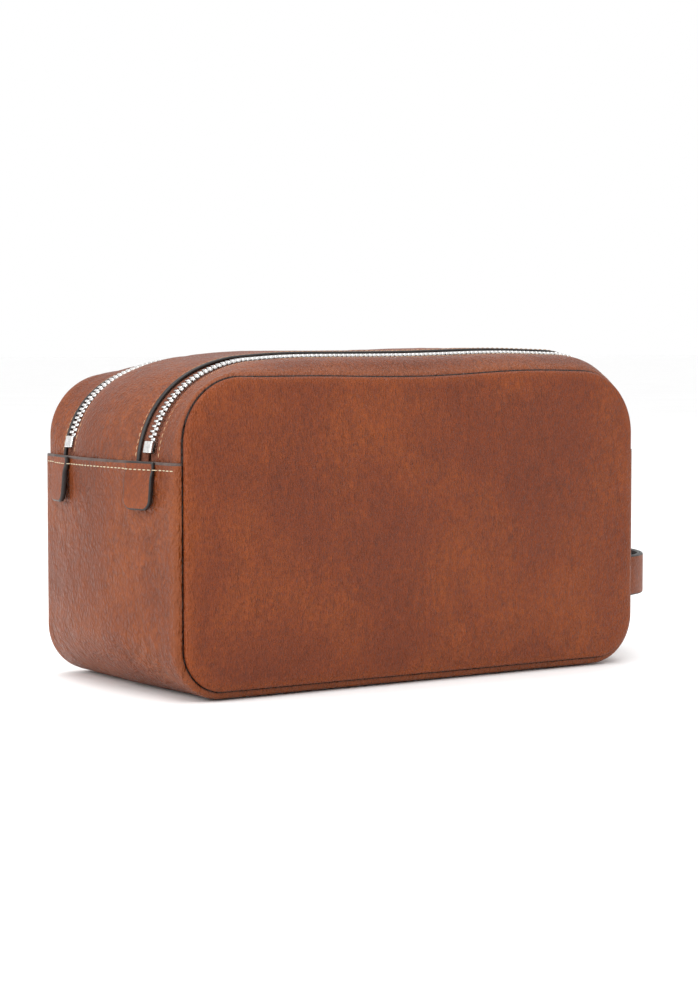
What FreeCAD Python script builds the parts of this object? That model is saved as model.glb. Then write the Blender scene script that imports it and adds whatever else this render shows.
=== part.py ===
"""A leather shaving kit bag with two zips and a side handle, as a parametric FreeCAD document.

Units are millimetres. +Z is up, +X runs towards the handle and -Y towards the front panel.
The origin is on the table under the middle of the bag.

The bag is a soft box. Its gusset is a band that runs right round between a front and a back panel,
and bulges outwards between its two seams. The band is lofted through five upright outlines: a seam
outline at each end, a zip outline over each zip, and the fullest outline in the middle. Its layers
are the same loft, inset by different amounts.
"""

import FreeCAD, Part
import math
import os

import Sketcher

V = FreeCAD.Vector
doc = FreeCAD.newDocument("kit_bag")
sheet = doc.addObject("Spreadsheet::Sheet", "sizes")

SIZES = {
    # Outlines of the gusset's outer face: half width, top, bottom and corner radii
    "seam_half_width": 128.8, "seam_top": 144.4, "seam_low": 1.4,
    "seam_left_radius": 31, "seam_right_radius": 31, "seam_low_radius": 22,
    "zip_half_width": 135.2, "zip_top": 155.7, "zip_low": -0.5,
    "zip_left_radius": 54.4, "zip_right_radius": 37.4, "zip_low_radius": 32,
    "mid_half_width": 138.2, "mid_top": 156.3, "mid_low": -0.8,
    "mid_left_radius": 52.6, "mid_right_radius": 38.6, "mid_low_radius": 36,
    "seam_depth": 61.5, "zip_depth": 37,
    # How far below the table the outline sketches have their origins, so that they lie in one quadrant
    "sketch_drop": 20,
    # Thicknesses of the gusset's layers, and the gap left between one layer and the next
    "layer_gap": 0.05, "stitch_height": 0.3, "edge_thread_rise": 0.35,
    "gusset_thickness": 1.8, "strip_thickness": 1.25, "tape_thickness": 0.45, "lining_thickness": 0.55,
    # Where the end panels stop and the zipped top starts
    "edge_height": 106, "overlap": 8, "edge_stitch_drop": 4.5, "stitch_width": 0.8, "thread_stop": 11.8,
    # Zips
    "slot_half": 5.2, "chain_half": 2.9, "tape_half": 13, "tape_edge": 1, "tape_rise": 1, "row_lap": 0.7,
    "tooth_pitch": 2.5, "tooth_length": 1.15, "tooth_height": 2.4, "chain_inset": 3.2,
    "stop_length": 5.6, "stop_width": 6.8, "stop_height": 3.2, "stop_round": 0.6,
    "left_stop_height": 112, "first_tooth_gap": 0.9, "last_tooth_gap": 0.7,
    "zip_stitch_offset": 8.2, "lining_slot_half": 11,
    # Slider and pull. The slider runs round the right corner of its zip, the last stretch that closes it
    "slider_length": 11, "slider_width": 9, "plate_thickness": 0.85, "plate_gap": 0.35,
    "flange_inside": 3.25, "flange_drop": 0.3, "foot_bite": 0.2,
    "bridge_length": 7, "bridge_width": 2, "bridge_rise": 1.7, "bridge_thickness": 0.8, "bridge_foot": 1,
    "pull_bar_radius": 0.5, "pull_length": 16, "pull_width": 6.2, "pull_thickness": 1.1,
    "pull_window": 3.6, "pull_window_length": 5.2, "pull_tilt": 24, "pull_round": 2,
    "top_stop_gap": 0.45, "top_stop_length": 2.2, "top_stop_split": 0.3, "top_stop_proud": 0.2,
    # Front and back panels
    "panel_rise": 5, "panel_wall": 1.8, "panel_edge": 4.4, "panel_gap": 0.1, "outline_gap": 1.8,
    "board_gap": 2, "stiffener_thickness": 0.8, "panel_lining": 0.6,
    # Inside
    "divider_thickness": 1.4, "divider_inset": 8, "lining_reach": 56.5,
    "board_thickness": 1.2, "board_lift": 6, "board_length": 196, "board_depth": 92,
    # Zip end tabs
    "tab_width": 19, "tab_drop": 14.5, "tab_thickness": 2.8, "tab_radius": 4, "tab_hinge_height": 99,
    "tab_clear": 0.4, "tab_gap": 0.35, "tab_top": 105.2, "tab_turn": 11,
    # Handle on the right end. Each end's knuckle is a part of a cylinder about the swing's axis
    "handle_base": 128, "handle_z": 42.5, "handle_width": 20, "handle_span": 58, "handle_reach": 38,
    "handle_leather": 1.8, "handle_lining": 1.2, "handle_glue": 0.02, "handle_axis": 136,
    "handle_knuckle": 10.5, "handle_gap": 0.4, "knuckle_margin": 10, "root_gap": 0.15, "root_from": 10,
}
for row, (alias, value) in enumerate(SIZES.items(), start=1):
    sheet.set(f"A{row}", alias)
    sheet.set(f"B{row}", str(value))
    sheet.setAlias(f"B{row}", alias)
doc.recompute()


def size(alias):
    """A driving dimension, read back from the spreadsheet."""
    return float(getattr(sheet, alias))


def bind(item, **expressions):
    """Bind properties of a document object to the spreadsheet. A double underscore stands for a dot."""
    for path, text in expressions.items():
        item.setExpression(path.replace("__", "."), text)
    return item


# ---------------------------------------------------------------- outlines and layers

LOFT_STATIONS = (
    ("seam", "-sizes.seam_depth"), ("zip", "-sizes.zip_depth"), ("mid", "0 mm"),
    ("zip", "sizes.zip_depth"), ("seam", "sizes.seam_depth"),
)


def outline(sketch, station, inset):
    """Draw a station's rounded outline in an upright sketch, inset by an expression in millimetres."""
    half, top, low = (f"sizes.{station}_half_width", f"sizes.{station}_top", f"sizes.{station}_low")
    radii = [f"sizes.{station}_{corner}_radius" for corner in ("low", "low", "right", "left")]
    drop, step = size("sketch_drop"), sheet_value(inset)
    x = size(f"{station}_half_width") - step
    z1 = size(f"{station}_top") - step + drop
    z0 = size(f"{station}_low") + step + drop
    r = [size(text.split(".")[1]) - step for text in radii]
    corners = [(-x, z0, r[0], 180), (x, z0, r[1], 270), (x, z1, r[2], 0), (-x, z1, r[3], 90)]
    arcs = []
    for cx, cz, radius, start in corners:
        centre = V(cx - math.copysign(radius, cx), cz + (radius if cz == z0 else -radius), 0)
        circle = Part.Circle(centre, V(0, 0, 1), radius)
        quarter = Part.ArcOfCircle(circle, math.radians(start), math.radians(start + 90))
        arcs.append(sketch.addGeometry(quarter))
    lines = []
    for n in range(4):
        a = sketch.Geometry[arcs[n]].EndPoint
        b = sketch.Geometry[arcs[(n + 1) % 4]].StartPoint
        lines.append(sketch.addGeometry(Part.LineSegment(a, b)))
    add = sketch.addConstraint
    for n in range(4):
        add(Sketcher.Constraint("Tangent", arcs[n], 2, lines[n], 1))
        add(Sketcher.Constraint("Tangent", lines[n], 2, arcs[(n + 1) % 4], 1))
        add(Sketcher.Constraint("Horizontal" if n % 2 == 0 else "Vertical", lines[n]))
        at = add(Sketcher.Constraint("Radius", arcs[n], r[n]))
        sketch.setExpression(f"Constraints[{at}]", f"{radii[n]} - ({inset})")
    places = (
        ("DistanceX", lines[3], 1, -1, 1, x, f"{half} - ({inset})"),
        ("DistanceX", -1, 1, lines[1], 1, x, f"{half} - ({inset})"),
        ("DistanceY", -1, 1, lines[2], 1, z1, f"{top} - ({inset}) + sizes.sketch_drop"),
        ("DistanceY", -1, 1, lines[0], 1, z0, f"{low} + ({inset}) + sizes.sketch_drop"),
    )
    for kind, first, first_end, second, second_end, value, text in places:
        at = add(Sketcher.Constraint(kind, first, first_end, second, second_end, value))
        sketch.setExpression(f"Constraints[{at}]", text)
    return sketch


def sheet_value(text):
    """The number that an expression of sheet cells joined by + and - stands for."""
    total, sign = 0.0, 1
    for word in text.replace("(", " ").replace(")", " ").split():
        if word in "+-":
            sign = 1 if word == "+" else -1
        else:
            total += sign * (size(word.split(".")[1]) if word.startswith("sizes.") else float(word))
            sign = 1
    return total


TINY = 1e-4
UPRIGHT = FreeCAD.Rotation(V(1, 0, 0), 90)
forms = {}


def form(inset):
    """The solid inside the gusset's outer face, inset by an expression. Each inset is lofted once."""
    if inset not in forms:
        number = len(forms)
        sections = []
        for n, (station, depth) in enumerate(LOFT_STATIONS):
            sketch = doc.addObject("Sketcher::SketchObject", f"outline_{number}_{n}")
            sketch.Placement = FreeCAD.Placement(V(0, 0, 0), UPRIGHT)
            bind(sketch, Placement__Base__y=depth, Placement__Base__z="-sizes.sketch_drop")
            sections.append(outline(sketch, station, inset))
        loft = doc.addObject("Part::Loft", f"form_{number}")
        loft.Sections, loft.Solid, loft.Ruled = sections, True, False
        forms[inset] = loft
    return forms[inset]


def join(kind, name, base, tool):
    """A Part::Cut, Part::Common or Part::Fuse of two objects."""
    made = doc.addObject(f"Part::{kind}", name)
    made.Base, made.Tool = base, tool
    return made


shells = {}


def shell(outer, inner):
    """One layer of the gusset all the way round, between two insets."""
    if (outer, inner) not in shells:
        shells[outer, inner] = join("Cut", f"layer_{len(shells)}", form(outer), form(inner))
    return shells[outer, inner]


def block(name, x, y, z):
    """A box between pairs of expressions, to cut a layer with."""
    made = doc.addObject("Part::Box", name)
    for (low, high), side, at in zip((x, y, z), ("Length", "Width", "Height"), "xyz"):
        made.setExpression(side, f"({high}) - ({low})")
        made.setExpression(f"Placement.Base.{at}", low)
    return made


def placed(name, items, placement=FreeCAD.Placement()):
    """Solids kept together as one object, set down in the bag's frame."""
    group = doc.addObject("Part::Compound", name)
    group.Links, group.Placement = items, placement
    return group


def edges_of(item, axis, value, along):
    """Numbers of the straight edges that lie at value on one axis (0, 1 or 2) and run along another."""
    found = []
    for n, edge in enumerate(item.Shape.Edges, start=1):
        a, b = edge.Vertexes[0].Point, edge.Vertexes[-1].Point
        if max(abs(a[axis] - value), abs(b[axis] - value)) < TINY < abs(a[along] - b[along]):
            found.append(n)
    return found


def eased(name, base, alias, *where):
    """A block with its edges rounded: all of them, or those that edges_of finds at (axis, value, along)."""
    made = doc.addObject("Part::Fillet", name)
    made.Base = base
    doc.recompute()
    numbers = edges_of(base, *where) if where else range(1, len(base.Shape.Edges) + 1)
    made.Edges = [(n, size(alias), size(alias)) for n in numbers]
    return made


pieces = []


def piece(item, label):
    """Keep an object as a sub-part with this name."""
    item.Label = label
    pieces.append(item)
    return item


SIGNS = {"front": "-", "back": ""}
FAR = "200"
WIDE_X, WIDE_Y = (f"-{FAR}", FAR), (f"-{FAR}", FAR)
GUSSET_IN = "sizes.gusset_thickness"
STRIP_OUT = "sizes.gusset_thickness + sizes.layer_gap"
STRIP_IN = f"{STRIP_OUT} + sizes.strip_thickness"
TAPE_OUT = f"{STRIP_IN} + sizes.layer_gap"
TAPE_IN = f"{TAPE_OUT} + sizes.tape_thickness"
LINING_OUT = f"{TAPE_IN} + sizes.layer_gap"
LINING_IN = f"{LINING_OUT} + sizes.lining_thickness"
TOP_FROM = "sizes.edge_height - sizes.overlap"


def make_gusset():
    """The leather band under the bag and up both ends, its stiffener, and the lining behind everything."""
    below = block("below_edge", WIDE_X, WIDE_Y, ("0", "sizes.edge_height"))
    piece(join("Common", "gusset_cut", shell("0", GUSSET_IN), below), "gusset")
    reach = ("-sizes.lining_reach", "sizes.lining_reach")
    lower = block("below_overlap", WIDE_X, reach, ("0", f"{TOP_FROM} - sizes.layer_gap"))
    piece(join("Common", "stiffener_cut", shell(STRIP_OUT, TAPE_IN), lower), "gusset_stiffener")
    kept = block("lining_block", WIDE_X, reach, ("0", FAR))
    lining = join("Common", "lining_band", shell(LINING_OUT, LINING_IN), kept)
    for side, sign in SIGNS.items():
        middle = f"{sign}sizes.zip_depth"
        across = (f"{middle} - sizes.lining_slot_half", f"{middle} + sizes.lining_slot_half")
        slot = block(f"{side}_lining_slot", WIDE_X, across, ("sizes.edge_height", FAR))
        lining = join("Cut", f"lining_less_{side}", lining, slot)
    piece(lining, "gusset_lining")


def make_top_strips():
    """Three arched leather strips between and beside the zips. Their ends lie under the end panels."""
    slot_out, slot_in = "sizes.zip_depth + sizes.slot_half", "sizes.zip_depth - sizes.slot_half"
    spans = {
        "front_top_strip": (f"-{FAR}", f"-({slot_out})"),
        "centre_top_strip": (f"-({slot_in})", slot_in),
        "back_top_strip": (slot_out, FAR),
    }
    for label, y in spans.items():
        kept = block(f"{label}_block", WIDE_X, y, (TOP_FROM, FAR))
        piece(join("Common", f"{label}_cut", shell(STRIP_OUT, STRIP_IN), kept), label)


def make_stitching():
    """A thread line beside each long edge of the zips, and one across each end below the edge."""
    raised = shell("sizes.gusset_thickness - sizes.stitch_height", GUSSET_IN)
    for side, sign in SIGNS.items():
        lines = []
        for n, shift in enumerate("-+"):
            middle = f"{sign}sizes.zip_depth {shift} sizes.zip_stitch_offset"
            across = (f"{middle} - sizes.stitch_width / 2", f"{middle} + sizes.stitch_width / 2")
            above = ("sizes.edge_height + sizes.layer_gap", FAR)
            band = block(f"{side}_thread_{n}", WIDE_X, across, above)
            lines.append(join("Common", f"{side}_thread_line_{n}", raised, band))
        piece(placed(f"{side}_zip_threads", lines), f"{side}_zip_stitching")
    proud = shell("0 - sizes.edge_thread_rise", "0 - sizes.layer_gap")
    middle = "sizes.edge_height - sizes.edge_stitch_drop"
    z = (f"{middle} - sizes.stitch_width / 2", f"{middle} + sizes.stitch_width / 2")
    near_tab, far_tab = "sizes.zip_depth - sizes.thread_stop", "sizes.zip_depth + sizes.thread_stop"
    spans = ((f"-{FAR}", f"-({far_tab})"), (f"-({near_tab})", near_tab), (far_tab, FAR))
    for end, x in (("left", (f"-{FAR}", "0")), ("right", ("0", FAR))):
        lines = [join("Common", f"{end}_edge_thread_{n}", proud, block(f"{end}_edge_block_{n}", x, y, z))
                 for n, y in enumerate(spans)]
        piece(placed(f"{end}_edge_threads", lines), f"{end}_edge_stitching")


# ---------------------------------------------------------------- panels and boards

def flat_body(name, station, inset, start, thickness, side):
    """A body padded from a station's outline. side is -1 towards the front and 1 towards the back."""
    body = doc.addObject("PartDesign::Body", name)
    plane = next(f for f in body.Origin.OriginFeatures if f.Role == "XZ_Plane")
    sketch = body.newObject("Sketcher::SketchObject", f"{name}_outline")
    sketch.AttachmentSupport, sketch.MapMode = [(plane, "")], "FlatFace"
    sketch.setExpression("AttachmentOffset.Base.y", "-sizes.sketch_drop")
    sketch.setExpression("AttachmentOffset.Base.z", start if side < 0 else f"-({start})")
    outline(sketch, station, inset)
    pad = body.newObject("PartDesign::Pad", f"{name}_pad")
    pad.Profile, pad.Reversed = sketch, side > 0
    pad.setExpression("Length", thickness)
    doc.recompute()
    return body, pad


def make_panels():
    """Front and back panel: a dished leather sheet with a rounded edge, and a stiffener and lining in it."""
    start = "sizes.seam_depth + sizes.panel_gap"
    for side, sign in (("front", -1), ("back", 1)):
        name = f"{side}_panel"
        body, pad = flat_body(f"{name}_body", "seam", "sizes.outline_gap", start, "sizes.panel_rise", sign)
        outer = sign * (size("seam_depth") + size("panel_gap") + size("panel_rise"))
        rim = [f"Edge{n}" for n, edge in enumerate(pad.Shape.Edges, start=1)
               if all(abs(v.Point.y - outer) < TINY for v in edge.Vertexes)]
        fillet = body.newObject("PartDesign::Fillet", f"{name}_rim")
        fillet.Base = (pad, rim)
        bind(fillet, Radius="sizes.panel_edge")
        plane = next(f for f in body.Origin.OriginFeatures if f.Role == "XZ_Plane")
        sketch = body.newObject("Sketcher::SketchObject", f"{name}_hollow")
        sketch.AttachmentSupport, sketch.MapMode = [(plane, "")], "FlatFace"
        sketch.setExpression("AttachmentOffset.Base.y", "-sizes.sketch_drop")
        sketch.setExpression("AttachmentOffset.Base.z", start if sign < 0 else f"-({start})")
        outline(sketch, "seam", "sizes.outline_gap + sizes.panel_wall")
        doc.recompute()
        before = fillet.Shape.Volume
        pocket = body.newObject("PartDesign::Pocket", f"{name}_pocket")
        pocket.Profile, pocket.Reversed = sketch, sign < 0
        pocket.setExpression("Length", "sizes.panel_rise - sizes.panel_wall")
        doc.recompute()
        if pocket.Shape.Volume > 0.8 * before:
            raise RuntimeError(f"the {side} panel's hollow cut nothing")
        piece(body, name)
        inside = "sizes.outline_gap + sizes.panel_wall + sizes.board_gap"
        roof_at = f"{start} + sizes.panel_rise - sizes.panel_wall"
        board_at = f"{roof_at} - sizes.layer_gap - sizes.stiffener_thickness"
        thick = "sizes.stiffener_thickness"
        board, _ = flat_body(f"{side}_stiffener_body", "seam", inside, board_at, thick, sign)
        piece(board, f"{side}_panel_stiffener")
        lining_at = f"{board_at} - sizes.layer_gap - sizes.panel_lining"
        lining, _ = flat_body(f"{side}_lining_body", "seam", inside, lining_at, "sizes.panel_lining", sign)
        piece(lining, f"{side}_panel_lining")


def make_inside():
    """The wall between the two compartments, and the board that keeps the bottom flat."""
    divider, _ = flat_body("divider_body", "mid", "sizes.divider_inset", "-sizes.divider_thickness / 2",
                           "sizes.divider_thickness", -1)
    piece(divider, "divider")
    board = doc.addObject("PartDesign::Body", "board_body")
    plane = next(f for f in board.Origin.OriginFeatures if f.Role == "XY_Plane")
    sketch = board.newObject("Sketcher::SketchObject", "board_outline")
    sketch.AttachmentSupport, sketch.MapMode = [(plane, "")], "FlatFace"
    x, y = size("board_length") / 2, size("board_depth") / 2
    corners = [V(-x, -y, 0), V(x, -y, 0), V(x, y, 0), V(-x, y, 0)]
    for n in range(4):
        sketch.addGeometry(Part.LineSegment(corners[n], corners[(n + 1) % 4]))
    for n in range(4):
        sketch.addConstraint(Sketcher.Constraint("Coincident", n, 2, (n + 1) % 4, 1))
        sketch.addConstraint(Sketcher.Constraint("Horizontal" if n % 2 == 0 else "Vertical", n))
    sketch.addConstraint(Sketcher.Constraint("Symmetric", 0, 1, 1, 2, -1, 1))
    length = sketch.addConstraint(Sketcher.Constraint("DistanceX", 0, 1, 0, 2, 2 * x))
    width = sketch.addConstraint(Sketcher.Constraint("DistanceY", 1, 1, 1, 2, 2 * y))
    sketch.setExpression(f"Constraints[{length}]", "sizes.board_length")
    sketch.setExpression(f"Constraints[{width}]", "sizes.board_depth")
    pad = board.newObject("PartDesign::Pad", "board_pad")
    pad.Profile = sketch
    pad.setExpression("Length", "sizes.board_thickness")
    bind(board, Placement__Base__z="sizes.zip_low + sizes.board_lift")
    piece(board, "base_board")


# ---------------------------------------------------------------- zips

def pose(x, y, z, degrees):
    """A placement at a point, turned about the Y axis."""
    return FreeCAD.Placement(V(x, y, z), FreeCAD.Rotation(V(0, 1, 0), degrees))


def left_arc():
    """The zip's left corner: centre, the chain's radius, and the angle above level of its stop."""
    radius = size("zip_left_radius")
    x, z = radius - size("zip_half_width"), size("zip_top") - radius
    chain = radius - size("chain_inset")
    return x, z, chain, math.asin((size("left_stop_height") - z) / chain)


def right_corner():
    """The zip's right corner: the point that its slider turns about."""
    return size("zip_half_width") - size("zip_right_radius"), size("zip_top") - size("zip_right_radius")


def chain_path():
    """Points of a zip's middle line from its left stop to its right stops, as (x, z, turn about Y)."""
    xl, zl, rl, stop_angle = left_arc()
    xr, zr = right_corner()
    rr = size("zip_right_radius") - size("chain_inset")
    start = stop_angle + (size("stop_length") / 2 + size("first_tooth_gap")) / rl
    arc_l, run, arc_r = (math.pi / 2 - start) * rl, xr - xl, math.pi / 2 * rr
    down = size("slider_length") / 2 + size("top_stop_gap") - size("last_tooth_gap")
    total = arc_l + run + arc_r + down
    points, step = [], size("tooth_pitch") / 2
    for n in range(int(total / step) + 1):
        s = n * step
        if s < arc_l:
            a = start + s / rl
            points.append((xl - rl * math.cos(a), zl + rl * math.sin(a), math.degrees(a) - 90))
        elif s < arc_l + run:
            points.append((xl + s - arc_l, zl + rl, 0))
        elif s < arc_l + run + arc_r:
            a = (s - arc_l - run) / rr
            points.append((xr + rr * math.sin(a), zr + rr * math.cos(a), math.degrees(a)))
        else:
            points.append((xr + rr, zr - (s - arc_l - run - arc_r), 90))
    return points


def half_of(alias):
    """The two ends of a dimension laid across the origin."""
    return f"-sizes.{alias} / 2", f"sizes.{alias} / 2"


RADIUS = "sizes.zip_right_radius - sizes.chain_inset"
PLATE = f"{RADIUS} + sizes.tooth_height / 2 + sizes.plate_gap"
PLATE_TOP = f"{PLATE} + sizes.plate_thickness"


def make_tapes(side, sign):
    """The two woven tapes that carry a zip's teeth."""
    middle = f"{sign}sizes.zip_depth"
    spans = {
        "near": (f"{middle} - sizes.tape_half", f"{middle} - sizes.tape_edge"),
        "far": (f"{middle} + sizes.tape_edge", f"{middle} + sizes.tape_half"),
    }
    for label, y in spans.items():
        cut = block(f"{side}_{label}_tape_block", WIDE_X, y, (f"{TOP_FROM} + sizes.tape_rise", FAR))
        piece(join("Common", f"{side}_{label}_tape_cut", shell(TAPE_OUT, TAPE_IN), cut),
              f"{side}_zip_{label}_tape")


def make_teeth(side, y):
    """Two rows of teeth. They take turns along the chain, and each laps over its middle line."""
    lap, half = size("row_lap") / 2, size("chain_half")
    long, high = size("tooth_length"), size("tooth_height")
    path = chain_path()
    for n, (label, low) in enumerate((("near", -half), ("far", -lap))):
        teeth = []
        for x, z, turn in path[n::2]:
            tooth = Part.makeBox(long, half + lap, high, V(-long / 2, low, -high / 2))
            tooth.Placement = pose(x, y, z, turn)
            teeth.append(tooth)
        row_of_teeth = doc.addObject("Part::Feature", f"{side}_{label}_teeth_row")
        row_of_teeth.Shape = Part.makeCompound(teeth)
        piece(row_of_teeth, f"{side}_zip_{label}_teeth")


def make_stops(side, y, corner):
    """The bottom stop at a zip's left end, and the pair of top stops at its right end."""
    solid = block(f"{side}_stop_block", *(half_of(f"stop_{way}") for way in ("length", "width", "height")))
    stop = eased(f"{side}_stop", solid, "stop_round")
    xl, zl, rl, a = left_arc()
    spot = pose(xl - rl * math.cos(a), y, zl + rl * math.sin(a), math.degrees(a) - 90)
    piece(placed(f"{side}_stop_set", [stop], spot), f"{side}_zip_bottom_stop")
    begin = "sizes.slider_length / 2 + sizes.top_stop_gap"
    reach = "sizes.tooth_height / 2 + sizes.top_stop_proud"
    across = (("-sizes.chain_half", "-sizes.top_stop_split"), ("sizes.top_stop_split", "sizes.chain_half"))
    stops = [block(f"{side}_top_stop_{n}", (begin, f"{begin} + sizes.top_stop_length"), width,
                   (f"{RADIUS} - ({reach})", f"{RADIUS} + {reach}")) for n, width in enumerate(across)]
    piece(placed(f"{side}_top_stops", stops, corner), f"{side}_zip_top_stops")


def make_slider(side, corner):
    """A plate over the chain with a short flange down each side, and a bridge that holds the pull."""
    full, bridge_x, bridge_y = half_of("slider_length"), half_of("bridge_length"), half_of("bridge_width")
    wide, inside = "sizes.slider_width / 2", "sizes.flange_inside"
    flange = (f"{PLATE} - sizes.flange_drop", PLATE_TOP)
    under = f"{PLATE_TOP} + sizes.bridge_rise"
    foot = (f"{PLATE_TOP} - sizes.foot_bite", f"{under} + sizes.foot_bite")
    slider = doc.addObject("Part::MultiFuse", f"{side}_slider")
    slider.Shapes = [
        block(f"{side}_plate", full, (f"-{wide}", wide), (PLATE, PLATE_TOP)),
        block(f"{side}_near_flange", full, (f"-{wide}", f"-{inside}"), flange),
        block(f"{side}_far_flange", full, (inside, wide), flange),
        block(f"{side}_upper_foot", (bridge_x[0], f"{bridge_x[0]} + sizes.bridge_foot"), bridge_y, foot),
        block(f"{side}_lower_foot", (f"{bridge_x[1]} - sizes.bridge_foot", bridge_x[1]), bridge_y, foot),
        block(f"{side}_bridge", bridge_x, bridge_y, (under, f"{under} + sizes.bridge_thickness")),
    ]
    piece(placed(f"{side}_slider_set", [slider], corner), f"{side}_zip_slider")


def make_pull(side, corner):
    """A plate with a window at one end. The bar across the window lies under the slider's bridge."""
    bar = doc.addObject("Part::Cylinder", f"{side}_pull_bar")
    bind(bar, Radius="sizes.pull_bar_radius", Height="sizes.pull_width")
    bar.Placement = FreeCAD.Placement(V(0, size("pull_width") / 2, 0), UPRIGHT)
    blank = block(f"{side}_pull_blank", ("0", "sizes.pull_length"), half_of("pull_width"),
                  half_of("pull_thickness"))
    rounded = eased(f"{side}_pull_round", blank, "pull_round", 0, size("pull_length"), 2)
    window = block(f"{side}_pull_window", (f"-{FAR}", "sizes.pull_window_length"), half_of("pull_window"),
                   (f"-{FAR}", FAR))
    pull = join("Fuse", f"{side}_pull", join("Cut", f"{side}_pull_open", rounded, window), bar)
    height = sum(size(name) for name in ("zip_right_radius", "plate_gap", "plate_thickness"))
    height += size("tooth_height") / 2 - size("chain_inset") + size("bridge_rise") / 2
    swung = corner.multiply(pose(0, 0, height, -size("pull_tilt")))
    piece(placed(f"{side}_pull_set", [pull], swung), f"{side}_zip_pull")


def make_zip(side, sign):
    """One zip: two tapes, two rows of teeth, a stop at each end, and the slider with its pull."""
    y = size("zip_depth") * (-1 if sign else 1)
    x, z = right_corner()
    corner = pose(x, y, z, 90)
    make_tapes(side, sign)
    make_teeth(side, y)
    make_stops(side, y, corner)
    make_slider(side, corner)
    make_pull(side, corner)


# ---------------------------------------------------------------- tabs and handle

def make_tab(name, way, face):
    """A leather tab over the end of a zip. It hangs from a head that is sewn to the end panel."""
    out = ("sizes.tab_clear", "sizes.tab_clear + sizes.tab_thickness")
    across = half_of("tab_width")
    blank = block(f"{name}_blank", out, across, ("-sizes.tab_drop", "0"))
    soft = eased(f"{name}_soft", blank, "tab_radius", 2, -size("tab_drop"), 0)
    roll = doc.addObject("Part::Cylinder", f"{name}_roll")
    bind(roll, Radius="sizes.tab_thickness / 2", Height="sizes.tab_width")
    middle = size("tab_clear") + size("tab_thickness") / 2
    roll.Placement = FreeCAD.Placement(V(middle, size("tab_width") / 2, 0), UPRIGHT)
    flap = join("Fuse", f"{name}_flap", soft, roll)
    top = ("sizes.tab_thickness / 2 + sizes.tab_gap", "sizes.tab_top - sizes.tab_hinge_height")
    head = block(f"{name}_head_block", out, across, top)
    angle = face * size("tab_turn") if way > 0 else 180 - face * size("tab_turn")
    spot = V(way * size("zip_half_width"), face * size("zip_depth"), size("tab_hinge_height"))
    place = FreeCAD.Placement(spot, FreeCAD.Rotation(V(0, 0, 1), angle))
    piece(placed(f"{name}_set", [flap], place), name)
    piece(placed(f"{name}_head_set", [head], place), f"{name}_head")


def make_tabs():
    """Four tabs, one over each end of each zip."""
    for end, way in (("left", -1), ("right", 1)):
        for side, face in (("front", -1), ("back", 1)):
            make_tab(f"{side}_{end}_tab", way, face)


def ellipse_prism(name, less):
    """The handle's plan outline, smaller by an expression, as an upright prism."""
    ring = doc.addObject("Part::Ellipse", f"{name}_curve")
    bind(ring, MajorRadius=f"sizes.handle_span - ({less})", MinorRadius=f"sizes.handle_reach - ({less})")
    low = V(size("handle_base"), 0, size("handle_z") - size("handle_width") / 2)
    ring.Placement = FreeCAD.Placement(low, FreeCAD.Rotation(V(0, 0, 1), 90))
    prism = doc.addObject("Part::Extrusion", name)
    prism.Base, prism.DirMode, prism.Dir, prism.Solid = ring, "Custom", V(0, 0, 1), True
    bind(prism, LengthFwd="sizes.handle_width")
    return prism


def knuckle(name, radius):
    """A cylinder about the axis that the handle swings on."""
    made = doc.addObject("Part::Cylinder", name)
    bind(made, Radius=radius, Height="2 * (sizes.handle_span + sizes.knuckle_margin)")
    end = V(size("handle_axis"), size("handle_span") + size("knuckle_margin"), size("handle_z"))
    made.Placement = FreeCAD.Placement(end, UPRIGHT)
    return made


def make_handle():
    """A flat loop of lined leather that stands out of the right end. Its two sewn ends are separate."""
    outer = ellipse_prism("handle_outer", "0")
    middle = ellipse_prism("handle_middle", "sizes.handle_leather")
    facing = ellipse_prism("handle_facing", "sizes.handle_leather + sizes.handle_glue")
    inner = ellipse_prism("handle_inner", "sizes.handle_leather + sizes.handle_lining")
    socket = knuckle("handle_socket", "sizes.handle_knuckle + sizes.handle_gap")
    outside = block("outside_axis", ("sizes.handle_axis", FAR), WIDE_Y, ("0", FAR))
    rings = {
        "handle_strap": join("Cut", "handle_strap_ring", outer, middle),
        "handle_lining": join("Cut", "handle_lining_ring", facing, inner),
    }
    for label, ring in rings.items():
        half = join("Common", f"{label}_half", ring, outside)
        piece(join("Cut", f"{label}_loop", half, socket), label)
    whole = join("Cut", "handle_root_ring", ellipse_prism("handle_root_outer", "0"),
                 ellipse_prism("handle_root_inner", "sizes.handle_leather + sizes.handle_lining"))
    near = join("Common", "handle_root_near", whole, knuckle("handle_end", "sizes.handle_knuckle"))
    clear = join("Cut", "handle_root_clear", near, form("0 - sizes.root_gap"))
    for side, y in (("front", (f"-{FAR}", "-sizes.root_from")), ("back", ("sizes.root_from", FAR))):
        zone = block(f"{side}_root_zone", ("sizes.handle_base", FAR), y, ("0", FAR))
        piece(join("Common", f"{side}_root_cut", clear, zone), f"{side}_handle_root")


make_gusset()
make_top_strips()
make_stitching()
make_panels()
make_inside()
for side, sign in SIGNS.items():
    make_zip(side, sign)
make_tabs()
make_handle()
doc.recompute()
for item in doc.Objects:
    if "Invalid" in item.State or "Error" in item.State:
        raise RuntimeError(f"{item.Name} failed: {item.State}")
os.makedirs("parts", exist_ok=True)
for item in pieces:
    if item.Shape.isNull() or not item.Shape.isValid():
        raise RuntimeError(f"{item.Label} has no valid shape")
    item.Shape.exportStep(f"parts/{item.Label}.step")
    box = item.Shape.BoundBox
    print(item.Label, "solids", len(item.Shape.Solids), "volume", round(item.Shape.Volume),
          "x", round(box.XMin, 1), round(box.XMax, 1), "y", round(box.YMin, 1), round(box.YMax, 1),
          "z", round(box.ZMin, 2), round(box.ZMax, 1))
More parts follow.
